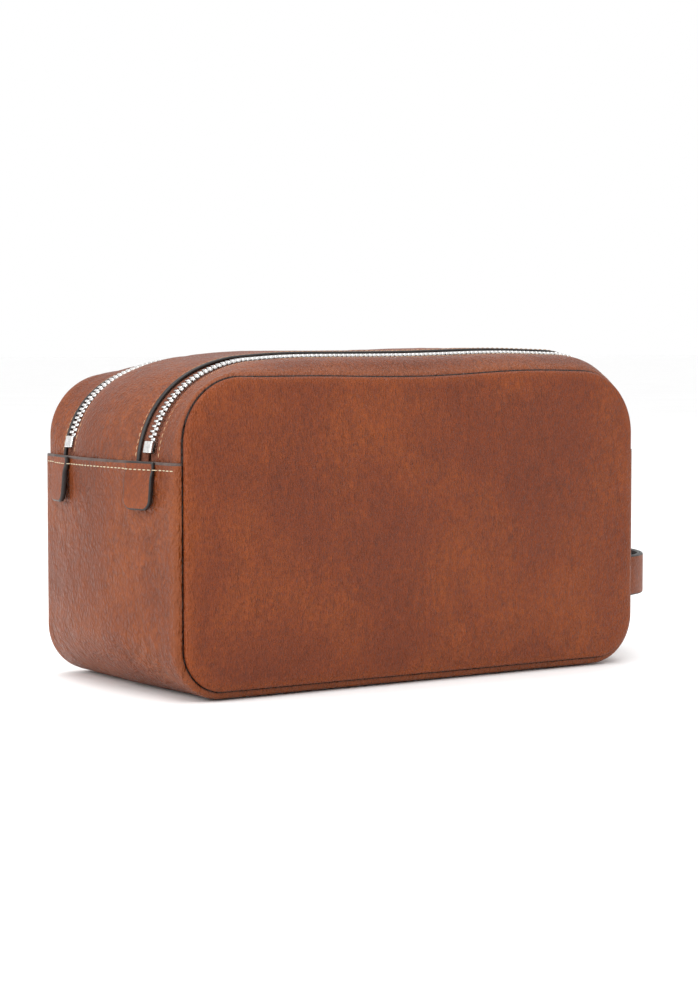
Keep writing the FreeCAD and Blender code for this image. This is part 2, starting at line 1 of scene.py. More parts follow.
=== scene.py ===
"""The looks of the leather shaving kit bag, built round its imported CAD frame. Lengths are in millimetres
until mesh data is made, in the frame's axes: +X towards the handle, -Y towards the front panel, +Z up."""

import math

import bmesh
import bpy
import numpy as np
from mathutils import Matrix, Vector, noise


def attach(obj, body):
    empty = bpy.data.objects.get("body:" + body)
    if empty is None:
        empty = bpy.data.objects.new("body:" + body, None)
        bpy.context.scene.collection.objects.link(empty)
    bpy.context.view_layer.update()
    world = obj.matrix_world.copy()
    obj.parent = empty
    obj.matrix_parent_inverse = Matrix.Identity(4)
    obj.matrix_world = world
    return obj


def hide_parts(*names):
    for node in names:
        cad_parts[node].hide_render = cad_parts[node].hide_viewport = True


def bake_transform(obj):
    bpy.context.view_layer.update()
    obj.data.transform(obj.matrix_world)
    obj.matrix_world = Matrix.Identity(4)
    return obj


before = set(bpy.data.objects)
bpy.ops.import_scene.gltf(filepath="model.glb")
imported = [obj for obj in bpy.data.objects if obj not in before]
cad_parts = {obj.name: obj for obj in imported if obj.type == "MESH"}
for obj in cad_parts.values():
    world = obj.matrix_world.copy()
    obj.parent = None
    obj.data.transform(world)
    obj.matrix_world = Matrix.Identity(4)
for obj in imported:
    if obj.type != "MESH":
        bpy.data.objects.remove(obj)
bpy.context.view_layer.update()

MM = 0.001
SIDES = {"front": -1, "back": 1}
ENDS = {"left": -1, "right": 1}

# Gusset outlines at three depths: half width, top, low, left radius, right radius, low radius
STATIONS = {
    "mid": (138.2, 156.3, -0.8, 52.6, 38.6, 36.0),
    "zip": (135.2, 155.7, -0.5, 54.4, 37.4, 32.0),
    "seam": (131.2, 147.4, 1.0, 33.5, 33.5, 23.5),
}
ZIP_Y, SEAM_Y = 37.0, 61.5      # from the bag's middle to each zip, and to each seam
EDGE_Z = 106.0                  # the gusset's top edge, across each end
LEATHER = 1.7
STRIP_INSET, STRIP_THICK = 1.85, 1.25
TAPE_INSET, TAPE_THICK = 3.5, 0.45
# The two outer strips sink a little towards their zip, and the strip between the zips towards the back one.
# The teeth lie lower than that strip.
DIP, BACK_DIP, DIP_REACH, TOOTH_DROP = 1.1, 0.9, 11.0, 0.4
SLOT_HALF, TAPE_HALF = 5.2, 12.5        # from a zip's middle to the leather, and to its tape's outer edge
LINING_INSET, LINING_THICK, LINING_REACH, LINING_SLOT = 4.2, 0.5, 56.5, 13.0
ROLL, ROLL_Y = 2.6, 60.0                # the seam's rolled edge: its radius, and where it starts
END_ROWS = (0.0, 0.08, 0.25, 0.5, 0.85, 1.25, 1.5)     # how far the crowded rows are from a band's end
ROWS_FROM = 2.4                         # where the even rows start
PANEL_INSET, PANEL_ROLL, PANEL_OUT = 3.4, 2.0, 2.0
PANEL_PUFF, PANEL_MIDDLE, PUFF_HALF = 1.7, 73.0, (128, 70.5)   # how far it swells, and over which half sizes
TAB_TURN = 11.0                         # degrees that a tab is turned with the end's curve
# How high the wrinkles stand
GUSSET_RUFFLE, STRIP_RUFFLE, CLOTH_RUFFLE, PANEL_RUFFLE = 0.7, 0.5, 0.3, 0.55
STITCH_PITCH, STITCH_LONG, THREAD_R, ZIP_THREAD_R = 3.0, 2.3, 0.27, 0.22
# The chain's line: the centre and radius of its right corner, then of its left one; the bottom stop's height
CORNER, CHAIN_R = (97.8, 118.3), 34.2
LEFT_CORNER, LEFT_CHAIN_R, LEFT_STOP_Z = (-80.8, 101.3), 51.2, 112.0
FLOOR_GAP = 0.00002                     # metres; the leather isn't let below it


# ---------------------------------------------------------------- surface of the gusset

def ease(value, low, high):
    """A smooth step from 0 at low to 1 at high."""
    t = np.clip((value - low) / (high - low), 0, 1)
    return t * t * (3 - 2 * t)


def params_at(y):
    """The outline's sizes at a depth: an even quartic through the middle, the zip and the seam."""
    mid, at_zip, seam = (np.array(STATIONS[name]) for name in ("mid", "zip", "seam"))
    a, b = ZIP_Y ** 2, SEAM_Y ** 2
    quartic = ((seam - mid) / b - (at_zip - mid) / a) / (b - a)
    square = (at_zip - mid) / a - quartic * a
    t = min(abs(y), SEAM_Y) ** 2
    return mid + square * t + quartic * t * t


def dip(y):
    """How far the top has sunk at a depth: the outer strips towards their zips' slots, and the strip
    between the zips towards the back one."""
    if abs(y) > ZIP_Y:
        return DIP * (1 - float(ease(abs(y) - ZIP_Y - SLOT_HALF, 0, DIP_REACH)))
    return BACK_DIP * float(ease(y - ZIP_Y + SLOT_HALF, -DIP_REACH, 0))


def loop_at(y, inset, count=220):
    """The outline at a depth: a closed polyline from the middle of the bottom, clockwise from the front."""
    half, top, low, left, right, corner = params_at(y)
    x, z1, z0 = half - inset, top - inset, low + inset
    rl, rr, rb = left - inset, right - inset, corner - inset
    turn = np.linspace(0, math.pi / 2, count // 4)
    s, c = np.sin(turn), np.cos(turn)
    arcs = [
        np.stack([-x + rb - rb * s, z0 + rb - rb * c], 1),
        np.stack([-x + rl - rl * c, z1 - rl + rl * s], 1),
        np.stack([x - rr + rr * s, z1 - rr + rr * c], 1),
        np.stack([x - rb + rb * c, z0 + rb - rb * s], 1),
    ]
    return np.concatenate([[[0, z0]], *arcs, [[0, z0]]])


def between(loop, start, end):
    """The length along a loop at each of its points, and at two spots given as (end of the bag, height)."""
    step = np.hypot(*np.diff(loop, axis=0).T)
    length = np.concatenate([[0], np.cumsum(step)])
    peak = int(np.argmax(loop[:, 1] - 1e-6 * np.abs(loop[:, 0])))
    spots = []
    for side, height in (start, end):
        part = slice(2, peak + 1) if side == "left" else slice(peak, len(loop) - 2)
        z, at = loop[part, 1], length[part]
        order = np.argsort(z, kind="stable")
        spots.append(float(np.interp(height, z[order], at[order])))
    return length, spots


def trace(y, inset, start, end, count, under=False):
    """Points along the outline at one depth, over the top or under the bottom, as an array of rows of 3.
    The rows crowd at both ends, where the leather's cut edge is rounded."""
    loop = loop_at(y, inset)
    length, (a, b) = between(loop, start, end)
    if under:
        b += length[-1]
    near = np.array(END_ROWS)
    even = np.linspace(a + ROWS_FROM, b - ROWS_FROM, count)
    along = np.concatenate([a + near, even, b - near[::-1]]) % length[-1]
    count = len(along)
    x, z = np.interp(along, length, loop[:, 0]), np.interp(along, length, loop[:, 1])
    return np.stack([x, np.full(count, y), z], 1)


def settle(points):
    """The bag's soft lean, for points n x 3. The left shoulder has sunk, less so in front.
    The top stands a little high on the right, the seams droop between, and the front leans left."""
    p = points.copy()
    x, y, z = points.T
    high = ease(z, 100, 140)
    shoulder = 2.3 + 1.6 * ease(y, -37, 0)
    p[:, 2] -= shoulder * high * np.exp(-((x + 97) / 27) ** 2)
    p[:, 2] += 1.4 * high * np.exp(-((x - 62) / 40) ** 2)
    at_seam = high * ease(np.abs(y), SEAM_Y - 8, SEAM_Y - 1)
    p[:, 2] -= 1.5 * at_seam * np.exp(-((x + 6) / 55) ** 2)
    p[:, 2] += 1.7 * at_seam * np.exp(-((x + 100) / 26) ** 2)
    p[:, 0] -= 1.6 * ease(-y, 45, SEAM_Y)
    return p


def wrinkle(p, size):
    """How far leather stands off its smooth surface at a point, by folds of two sizes and creases."""
    swell = noise.noise(Vector((p[0] * 0.022, p[1] * 0.03, p[2] * 0.02 + 7)))
    warp = noise.noise(Vector((p[0] * 0.03, p[1] * 0.04 + 5, p[2] * 0.03))) * 2.2
    fold = noise.noise(Vector((p[0] * 0.075 + warp, p[1] * 0.12 + warp, p[2] * 0.05)))
    crease = 1 - abs(noise.noise(Vector((p[0] * 0.1 + warp, p[1] * 0.17, p[2] * 0.085 + warp)))) * 5
    return size * (0.55 * swell + 0.3 * fold - 0.22 * max(crease, 0) ** 2)


def ruffle(points, size, quiet):
    """Push points out from the bag's core by the wrinkles there. quiet gives each point's share of them."""
    out = points.copy()
    for n, p in enumerate(points):
        if quiet[n] < 0.01:
            continue
        core = np.array([np.clip(p[0], -85, 85), p[1], np.clip(p[2], 45, 110)])
        way = p - core
        way /= max(np.linalg.norm(way), 1e-6)
        out[n] = p + way * wrinkle(p, size) * quiet[n]
    return out


# ---------------------------------------------------------------- mesh helpers

def make_object(name, points, faces, slots=None, materials=(), wear_and_painted_light=None):
    """A smooth mesh object from points in millimetres. slots is each face's material; the point values give
    each point's paleness from wear and painted highlight above 0 and painted groove shade below 0.
    """
    mesh = bpy.data.meshes.new(name)
    mesh.from_pydata([tuple(float(v) * MM for v in p) for p in points], [], faces)
    for material in materials:
        mesh.materials.append(material)
    if slots is not None:
        mesh.polygons.foreach_set("material_index", slots)
    mesh.polygons.foreach_set("use_smooth", [True] * len(mesh.polygons))
    if wear_and_painted_light is not None:
        # Paleness from wear and painted highlight above 0, and painted shade in the seam grooves below 0
        layer = mesh.attributes.new("wear_and_painted_light", "FLOAT", "POINT")
        layer.data.foreach_set("value", np.asarray(wear_and_painted_light, np.float32))
    mesh.validate()
    item = bpy.data.objects.new(name, mesh)
    bpy.context.scene.collection.objects.link(item)
    face_outwards(item)
    return item


def face_outwards(item):
    """Turn every face outwards."""
    work = bmesh.new()
    work.from_mesh(item.data)
    bmesh.ops.recalc_face_normals(work, faces=work.faces)
    work.to_mesh(item.data)
    work.free()


def tube_faces(rows, count, start=0, ring_slots=None):
    """Faces of a closed section of count points swept over rows, with one face on each end."""
    faces, slots = [], []
    for i in range(rows - 1):
        for j in range(count):
            k = (j + 1) % count
            a, b = start + i * count, start + (i + 1) * count
            faces.append((a + j, a + k, b + k, b + j))
            slots.append(ring_slots[j] if ring_slots else 0)
    first, last = start, start + (rows - 1) * count
    faces.append(tuple(first + j for j in range(count)))
    faces.append(tuple(last + j for j in reversed(range(count))))
    edge = max(ring_slots) if ring_slots else 0
    slots += [edge, edge]
    return faces, slots


def band(name, section, start, end, count, materials, size, under=False, wear_and_painted_light=None, calm_at_zips=True,
         thick=0.0):
    """A strip of leather or tape: a closed section of (y, inset, slot) swept along the gusset's outline.
    size is its wrinkles' height. Where thick is given, its two ends are rounded and painted."""
    columns = [trace(y, inset, start, end, count, under) for y, inset, _ in section]
    grid = np.stack(columns, 1)
    count = len(grid)
    if thick:
        even = count - 2 * len(END_ROWS)
        cores = np.stack([trace(y, thick / 2, start, end, even, under) for y, _, _ in section], 1)
        for n, back in enumerate(END_ROWS):
            t = max(0.0, 1 - back / (thick / 2))
            pull = 1 - math.sqrt(1 - t * t) if t < 1 else 0.92
            for row in (n, count - 1 - n):
                grid[row] += (cores[row] - grid[row]) * pull
    points = settle(grid.reshape(-1, 3))
    quiet = np.ones(len(points))
    if calm_at_zips:
        quiet = ease(np.abs(np.abs(points[:, 1]) - ZIP_Y), 6, 13)
    quiet *= ease(SEAM_Y - np.abs(points[:, 1]), 0.5, 7) * 0.8 + 0.2
    points = ruffle(points, size, quiet)
    faces, slots = tube_faces(count, len(section), ring_slots=[s for _, _, s in section])
    if thick:
        painted = len(END_ROWS) - 2
        for n in range(len(slots) - 2):
            row = n // len(section)
            if row < painted or row > count - 2 - painted:
                slots[n] = 1
    # Each point's paleness from wear and painted highlight, and its painted groove shade, by its place in the
    # section
    wear_and_light_values = np.tile([wear_and_painted_light(y, i) if wear_and_painted_light else 0.0 for y, i, _ in section], count)
    return make_object(name, points, faces, slots, materials, wear_and_painted_light=wear_and_light_values)


def strip_section(y0, y1, inset, thick, step=1.6, roll0=False, roll1=False):
    """A strip's section from y0 up to y1. Each end is a painted cut edge, or a roll down into a seam."""
    count = max(4, int(abs(y1 - y0) / step))
    outer = [[y, inset, 0] for y in np.linspace(y0, y1, count)]

    def turned(sign):
        """The rolled edge, as points from the flat leather over the roll and down into the seam's groove."""
        arc = []
        for k in range(1, 11):
            a = math.radians(14 * k)
            arc.append([sign * (ROLL_Y + ROLL * math.sin(a)), inset + ROLL - ROLL * math.cos(a), 0])
        return arc

    def cut(y_end, sign):
        """The cut edge, slightly rounded."""
        r = thick * 0.34
        arc = []
        for a in (0.35, 0.75, 1.25):
            arc.append([y_end - sign * r + sign * r * math.sin(a), inset + r - r * math.cos(a), 1])
        for a in (0.75, 1.25, 1.57):
            c = math.pi / 2 + a - 0.3
            arc.append([y_end - sign * r + sign * r * math.sin(c), inset + thick - r - r * math.cos(c), 1])
        return arc

    clear = 0.6     # how near its ends the flat part may come
    keep = [p for p in outer if abs(p[0]) < ROLL_Y - clear / 2 and min(p[0] - y0, y1 - p[0]) > clear]
    head = (turned(-1) if roll0 else cut(y0, -1))[::-1]
    tail = turned(1) if roll1 else cut(y1, 1)
    inner = [[p[0], inset + thick, 1] for p in keep[::-1]]
    return [tuple(p) for p in head + keep + tail + inner]


def offset_loop(points, distance):
    """A closed 2-D loop moved inwards by a distance along its own normals."""
    ahead, behind = np.roll(points, -1, 0), np.roll(points, 1, 0)
    tangent = ahead - behind
    tangent /= np.maximum(np.linalg.norm(tangent, axis=1, keepdims=True), 1e-9)
    normal = np.stack([-tangent[:, 1], tangent[:, 0]], 1)
    area = np.sum(points[:, 0] * ahead[:, 1] - ahead[:, 0] * points[:, 1])
    return points + normal * distance * (1 if area > 0 else -1)


def slab(outline, thick, ease_r, centre, rings=5):
    """A flat piece with a rounded edge: local points (a, b, height), faces and slots. Slot 1 is its edge."""
    upper = []
    for k in range(4):
        a = math.pi / 2 * k / 3
        upper.append((ease_r - ease_r * math.cos(a) if k else 0, thick / 2 - ease_r + ease_r * math.sin(a)))
    lower = [(d, -h) for d, h in upper][::-1]
    sides = lower + upper
    count = len(outline)
    shapes = [offset_loop(outline, d) for d, _ in sides]
    rows = [np.column_stack([s, np.full(count, h)]) for s, (_, h) in zip(shapes, sides)]
    for k in range(1, rings + 1):
        t = 1 - k / (rings + 1)
        base = shapes[-1]
        flat = centre + (base - centre) * t
        rows.append(np.column_stack([flat, np.full(count, thick / 2)]))
        rows.insert(0, np.column_stack([flat, np.full(count, -thick / 2)]))
    points = np.concatenate(rows)
    total = len(rows)
    edge_from, edge_to = rings + 1, rings + len(sides) - 2
    faces, slots = [], []
    for i in range(total - 1):
        for j in range(count):
            k = (j + 1) % count
            faces.append((i * count + j, i * count + k, (i + 1) * count + k, (i + 1) * count + j))
            slots.append(1 if edge_from <= i <= edge_to else 0)
    faces.append(tuple(range(count)))
    faces.append(tuple((total - 1) * count + j for j in reversed(range(count))))
    slots += [0, 0]
    return points, faces, slots


def rounded(width0, width1, low, high, radius_low, radius_high, step=0.5):
    """A closed outline symmetric about its axis: width0 at its low end and width1 at its high end."""
    points = []
    corners = ((width0, low, radius_low, -1, 1), (width1, high, radius_high, 1, 1),
               (width1, high, radius_high, 1, -1), (width0, low, radius_low, -1, -1))
    for width, level, radius, up, side in corners:
        cx, cz = side * (width / 2 - radius), level - up * radius
        start = {(-1, 1): -90, (1, 1): 0, (1, -1): 90, (-1, -1): 180}[(up, side)]
        for k in range(9):
            a = math.radians(start + 90 * k / 8)
            points.append((cx + radius * math.cos(a), cz + radius * math.sin(a)))
    dense = []
    for n, p in enumerate(points):
        q = points[(n + 1) % len(points)]
        pieces = max(1, int(math.dist(p, q) / step))
        for k in range(pieces):
            dense.append((p[0] + (q[0] - p[0]) * k / pieces, p[1] + (q[1] - p[1]) * k / pieces))
    return np.array(dense)


def thread(name, stitches, material, radius=THREAD_R):
    """Stitches as short plump threads whose ends dip into the leather. Each is (start, end, outward)."""
    points, faces = [], []
    sides, rows = 8, 7
    for start, end, out in stitches:
        a, b, out = np.array(start), np.array(end), np.array(out) / np.linalg.norm(out)
        along = b - a
        side = np.cross(out, along / np.linalg.norm(along))
        first = len(points)
        for i in range(rows):
            t = i / (rows - 1)
            plump = radius * (0.35 + 0.65 * math.sin(math.pi * t) ** 0.45)
            centre = a + along * t + out * (radius * 1.1 * math.sin(math.pi * t) ** 0.6 - radius * 0.55)
            for j in range(sides):
                turn = 2 * math.pi * j / sides
                points.append(centre + plump * (math.cos(turn) * side + math.sin(turn) * out))
        more, _ = tube_faces(rows, sides, first)
        faces += more
    return make_object(name, points, faces, materials=[material])


# ---------------------------------------------------------------- materials

def srgb(red, green, blue):
    """A colour on the 0 to 255 scale, as linear RGBA."""
    out = []
    for value in (red, green, blue):
        v = value / 255
        out.append(v / 12.92 if v <= 0.04045 else ((v + 0.055) / 1.055) ** 2.4)
    return (*out, 1)


class Nodes:
    """A short way to write a material's node tree."""

    def __init__(self, name, roughness=0.5, metallic=0.0, specular=0.5):
        self.material = bpy.data.materials.new(name)
        self.material.use_nodes = True
        self.tree = self.material.node_tree
        self.shader = self.tree.nodes["Principled BSDF"]
        self.shader.inputs["Roughness"].default_value = roughness
        self.shader.inputs["Metallic"].default_value = metallic
        self.shader.inputs["Specular IOR Level"].default_value = specular
        self.place = self.add("ShaderNodeTexCoord").outputs["Object"]

    def add(self, kind, **values):
        node = self.tree.nodes.new(kind)
        for key, value in values.items():
            setattr(node, key, value)
        return node

    def link(self, a, b):
        self.tree.links.new(a, b)

    def stretched(self, x, y, z):
        node = self.add("ShaderNodeMapping")
        node.inputs["Scale"].default_value = (x, y, z)
        self.link(self.place, node.inputs["Vector"])
        return node.outputs["Vector"]

    def noise(self, scale, detail=3.0, rough=0.5, vector=None, distortion=0.0):
        node = self.add("ShaderNodeTexNoise")
        keys = ("Scale", "Detail", "Roughness", "Distortion")
        for key, value in zip(keys, (scale, detail, rough, distortion)):
            node.inputs[key].default_value = value
        self.link(vector or self.place, node.inputs["Vector"])
        return node.outputs["Fac"]

    def cells(self, scale, vector):
        node = self.add("ShaderNodeTexVoronoi", feature="DISTANCE_TO_EDGE")
        node.inputs["Scale"].default_value = scale
        self.link(vector, node.inputs["Vector"])
        return node.outputs["Distance"]

    def span(self, value, low, high, to_low=0.0, to_high=1.0):
        node = self.add("ShaderNodeMapRange")
        for key, number in zip(("From Min", "From Max", "To Min", "To Max"), (low, high, to_low, to_high)):
            node.inputs[key].default_value = number
        self.link(value, node.inputs["Value"])
        return node.outputs["Result"]

    def maths(self, operation, a, b):
        node = self.add("ShaderNodeMath", operation=operation)
        for socket, value in zip(node.inputs, (a, b)):
            if isinstance(value, (int, float)):
                socket.default_value = value
            else:
                self.link(value, socket)
        return node.outputs["Value"]

    def ramp(self, value, *stops):
        node = self.add("ShaderNodeValToRGB")
        elements = node.color_ramp.elements
        while len(elements) < len(stops):
            elements.new(0.5)
        for element, (at, colour) in zip(elements, stops):
            element.position, element.color = at, colour
        self.link(value, node.inputs["Fac"])
        return node.outputs["Color"]

    def mix(self, factor, a, b, blend="MIX"):
        node = self.add("ShaderNodeMix", data_type="RGBA", blend_type=blend)
        for socket, value in zip((node.inputs[0], node.inputs[6], node.inputs[7]), (factor, a, b)):
            if isinstance(value, (int, float, tuple)):
                socket.default_value = value
            else:
                self.link(value, socket)
        return node.outputs[2]

    def colour(self, value):
        self.link(value, self.shader.inputs["Base Color"])

    def rough(self, value):
        self.link(value, self.shader.inputs["Roughness"])

    def bump(self, height, strength, distance):
        node = self.add("ShaderNodeBump")
        node.inputs["Strength"].default_value = strength
        node.inputs["Distance"].default_value = distance
        self.link(height, node.inputs["Height"])
        self.link(node.outputs["Normal"], self.shader.inputs["Normal"])


def leather(name, dark, body, light, grain, depth, gloss, creases, lean, stretch):
    """Soft grained leather: mottled dye, small pebbles, and fine creases that run the way it is stretched.
    Rolled edges are paler, partly as wear and partly as a painted highlight, and the grooves beside them are
    darkened as painted shade, after a point attribute on the mesh."""
    n = Nodes(name, roughness=gloss, specular=0.3)
    patches = n.noise(16, 3, 0.55, distortion=0.3)
    flecks = n.noise(420, 3, 0.6)
    mixed = n.maths("ADD", n.maths("MULTIPLY", patches, 0.6), n.maths("MULTIPLY", flecks, 0.4))
    tone = n.ramp(mixed, (0.33, dark), (0.5, body), (0.68, light))
    warp = n.add("ShaderNodeTexNoise")
    warp.inputs["Scale"].default_value = 120
    n.link(n.place, warp.inputs["Vector"])
    bent = n.add("ShaderNodeVectorMath", operation="MULTIPLY_ADD")
    bent.inputs[1].default_value = (0.0016, 0.0016, 0.0016)
    n.link(warp.outputs["Color"], bent.inputs[0])
    n.link(n.place, bent.inputs[2])
    slanted = n.add("ShaderNodeMapping")
    slanted.inputs["Rotation"].default_value = (math.radians(lean), math.radians(lean), 0)
    slanted.inputs["Scale"].default_value = stretch
    n.link(bent.outputs[0], slanted.inputs["Vector"])
    pebble = n.span(n.cells(grain, slanted.outputs["Vector"]), 0.0, 0.45)
    folds = n.span(n.noise(330, 2.5, 0.5, slanted.outputs["Vector"]), 0.3, 0.7)
    where = n.span(n.noise(32, 2, 0.5), 0.35, 0.65, 0.3, 1.0)
    crack = n.mix(where, (0.6, 0.6, 0.6, 1), folds)
    height = n.maths("ADD", n.maths("MULTIPLY", pebble, 0.35), n.maths("MULTIPLY", crack, creases))
    height = n.maths("ADD", height, n.maths("MULTIPLY", n.noise(900, 3, 0.6), 0.3))
    n.bump(height, 1.0, depth)
    # Painted shade: the colour darkens in the creases and grain pits, and a painted highlight lightens the
    # raised grain
    crease_shade_and_highlight = n.span(height, 0.25, 0.35 + creases, 0.82, 1.1)
    shaded = n.mix(1.0, tone, crease_shade_and_highlight, "MULTIPLY")
    # Paler rolled edges (wear and painted highlight) and a near-black brown painted into the seam grooves as
    # painted shade, from the mesh's point attribute
    wear_and_light_values = n.add("ShaderNodeAttribute", attribute_name="wear_and_painted_light").outputs["Fac"]
    pale = n.mix(n.span(wear_and_light_values, 0.0, 1.0, 0.0, 0.4), shaded, light)
    n.colour(n.mix(n.span(wear_and_light_values, -0.7, -0.05, 0.96, 0.0), pale, srgb(22, 9, 4)))
    gleam = n.maths("ADD", flecks, n.maths("MULTIPLY", pebble, -0.3))
    n.rough(n.span(gleam, 0.1, 0.6, gloss - 0.08, gloss + 0.12))
    return n.material


def edge_paint(name, colour, pale):
    """Thick edge paint: dark, slightly uneven and satin."""
    n = Nodes(name, roughness=0.42)
    n.colour(n.ramp(n.noise(220, 3), (0.35, colour), (0.7, pale)))
    n.rough(n.span(n.noise(300, 2), 0.3, 0.7, 0.36, 0.55))
    n.bump(n.noise(900, 3), 0.25, 0.0002)
    return n.material


def metal(name):
    """Bright nickel with fine handling marks."""
    n = Nodes(name, roughness=0.2, metallic=1.0)
    n.colour(n.ramp(n.noise(600, 3), (0.3, srgb(205, 204, 203)), (0.7, srgb(238, 237, 235))))
    n.rough(n.span(n.noise(1500, 4), 0.3, 0.7, 0.14, 0.32))
    n.bump(n.noise(2600, 2), 0.12, 0.00008)
    return n.material


def woven(name, dark, light, pitch):
    """Woven cloth or tape: crossed waves, with fuzz."""
    n = Nodes(name, roughness=0.85, specular=0.25)
    waves = []
    for direction in ("X", "Y", "Z"):
        wave = n.add("ShaderNodeTexWave", bands_direction=direction)
        wave.inputs["Scale"].default_value = 1 / pitch * 0.314
        wave.inputs["Distortion"].default_value = 0.4
        n.link(n.place, wave.inputs["Vector"])
        waves.append(wave.outputs["Fac"])
    cloth = n.maths("MULTIPLY", n.maths("ADD", waves[0], waves[2]), n.maths("ADD", waves[1], 0.3))
    n.colour(n.ramp(n.maths("ADD", n.maths("MULTIPLY", cloth, 0.4), n.maths("MULTIPLY", n.noise(900), 0.4)),
                    (0.15, dark), (0.75, light)))
    n.rough(n.span(n.noise(400), 0.3, 0.7, 0.85 - 0.08, 0.85 + 0.08))
    n.bump(cloth, 0.6, 0.0003)
    return n.material


def cotton(name, dark, light):
    """Waxed thread with its plies."""
    n = Nodes(name, roughness=0.6)
    n.colour(n.ramp(n.noise(1400, 3), (0.3, dark), (0.7, light)))
    n.rough(n.span(n.noise(700), 0.3, 0.7, 0.5, 0.7))
    n.bump(n.noise(3200, 2, vector=n.stretched(1, 2.2, 1)), 0.5, 0.00015)
    return n.material


def plain(name, dark, light, scale, roughness):
    """A board or floor: faint mottling and tooth."""
    n = Nodes(name, roughness=roughness)
    n.colour(n.ramp(n.noise(scale, 4), (0.3, dark), (0.7, light)))
    n.rough(n.span(n.noise(scale * 3), 0.3, 0.7, roughness - 0.05, roughness + 0.05))
    n.bump(n.noise(scale * 9, 3), 0.1, 0.0002)
    return n.material


PANEL = leather("panel_leather", srgb(98, 38, 7), srgb(113, 47, 8), srgb(134, 62, 12),
                grain=850, depth=0.0015, gloss=0.43, creases=0.9, lean=24, stretch=(1.0, 1.0, 0.42))
GUSSET = leather("gusset_leather", srgb(93, 41, 13), srgb(110, 50, 16), srgb(134, 68, 26),
                 grain=760, depth=0.0014, gloss=0.42, creases=1.0, lean=-14, stretch=(1.0, 0.5, 0.36))
TRIM = leather("trim_leather", srgb(97, 41, 11), srgb(113, 51, 14), srgb(134, 66, 24),
               grain=900, depth=0.0005, gloss=0.46, creases=0.35, lean=10, stretch=(1.0, 1.0, 0.5))
DARK_TRIM = leather("dark_leather", srgb(30, 22, 19), srgb(40, 30, 26), srgb(54, 42, 36),
                    grain=900, depth=0.0003, gloss=0.5, creases=0.2, lean=0, stretch=(1.0, 1.0, 1.0))
PAINT = edge_paint("edge_paint", srgb(17, 12, 11), srgb(33, 26, 23))
# A lighter grey-brown copy of the dark edge paint for the gusset's top edges and inner side: a painted
# highlight where the cut edge faces up to the light
LIT_EDGE_PAINT = edge_paint("lit_edge_paint", srgb(58, 42, 37), srgb(86, 66, 58))
METAL = metal("zip_nickel")
TAPE = woven("zip_tape", srgb(92, 52, 38), srgb(132, 80, 60), 0.0006)
CLOTH = woven("lining_cloth", srgb(62, 44, 32), srgb(92, 68, 50), 0.0008)
THREAD = cotton("cream_thread", srgb(166, 150, 120), srgb(206, 192, 164))
TAN_THREAD = cotton("tan_thread", srgb(160, 124, 92), srgb(196, 162, 128))
BOARD = plain("fibreboard", srgb(98, 84, 68), srgb(128, 112, 92), 300, 0.8)


def finish_piece(item, slot, body, *nodes):
    """Hang a piece on the body it rides on and hide the CAD nodes it stands for. slot, what the piece is made
    of, is not used.
    """
    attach(item, body)
    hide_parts(*nodes)


# ---------------------------------------------------------------- leather body

def edge_wear_and_painted_light(y, inset):
    """Paler leather (above 0) where it rolls into a seam, partly wear and partly a painted highlight, and
    painted shade (below 0) down in the groove.
    """
    if abs(y) < SEAM_Y - 5:
        return 0.0
    return float(ease(abs(y), SEAM_Y - 5, SEAM_Y - 1.5) - 2 * ease(inset, ROLL * 0.85, ROLL * 1.25))


def build_gusset():
    """The band under the bag and up both ends, with rolled seams and a painted top edge."""
    section = strip_section(-SEAM_Y, SEAM_Y, 0.0, LEATHER, 1.6, True, True)
    item = band("gusset_leather", section, ("right", EDGE_Z), ("left", EDGE_Z), 420, [GUSSET, LIT_EDGE_PAINT],
                GUSSET_RUFFLE, under=True, wear_and_painted_light=edge_wear_and_painted_light, calm_at_zips=False, thick=LEATHER)
    for v in item.data.vertices:
        v.co.z = max(v.co.z, FLOOR_GAP)
    finish_piece(item, "leather_gusset", "bag", "gusset")


def build_strips():
    """The three strips of the zipped top."""
    slot_out, slot_in = ZIP_Y + SLOT_HALF, ZIP_Y - SLOT_HALF
    start, end = ("left", EDGE_Z - 7), ("right", EDGE_Z - 7)
    spans = {
        "front_top_strip": (-SEAM_Y, -slot_out, True, False),
        "centre_top_strip": (-slot_in, slot_in, False, False),
        "back_top_strip": (slot_out, SEAM_Y, False, True),
    }
    for node, (y0, y1, roll0, roll1) in spans.items():
        section = strip_section(y0, y1, STRIP_INSET, STRIP_THICK, 1.5, roll0, roll1)
        section = [(y, inset + dip(y), slot) for y, inset, slot in section]
        item = band(f"{node}_leather", section, start, end, 330, [GUSSET, PAINT], STRIP_RUFFLE,
                    wear_and_painted_light=edge_wear_and_painted_light)
        finish_piece(item, "leather_gusset", "bag", node)


def build_lining():
    """The cloth behind the leather: across the bottom and up the ends, and behind each top strip."""
    slot_out, slot_in = ZIP_Y + LINING_SLOT, ZIP_Y - LINING_SLOT
    low, high = (("right", EDGE_Z), ("left", EDGE_Z)), (("left", EDGE_Z), ("right", EDGE_Z))
    spans = {
        "lower_lining": (-LINING_REACH, LINING_REACH, low, True),
        "front_lining": (-LINING_REACH, -slot_out, high, False),
        "centre_lining": (-slot_in, slot_in, high, False),
        "back_lining": (slot_out, LINING_REACH, high, False),
    }
    for name, (y0, y1, ends, under) in spans.items():
        section = strip_section(y0, y1, LINING_INSET, LINING_THICK, 3.0)
        item = band(name, section, *ends, 200, [CLOTH, CLOTH], CLOTH_RUFFLE, under)
        finish_piece(item, "lining", "bag", "gusset_lining")


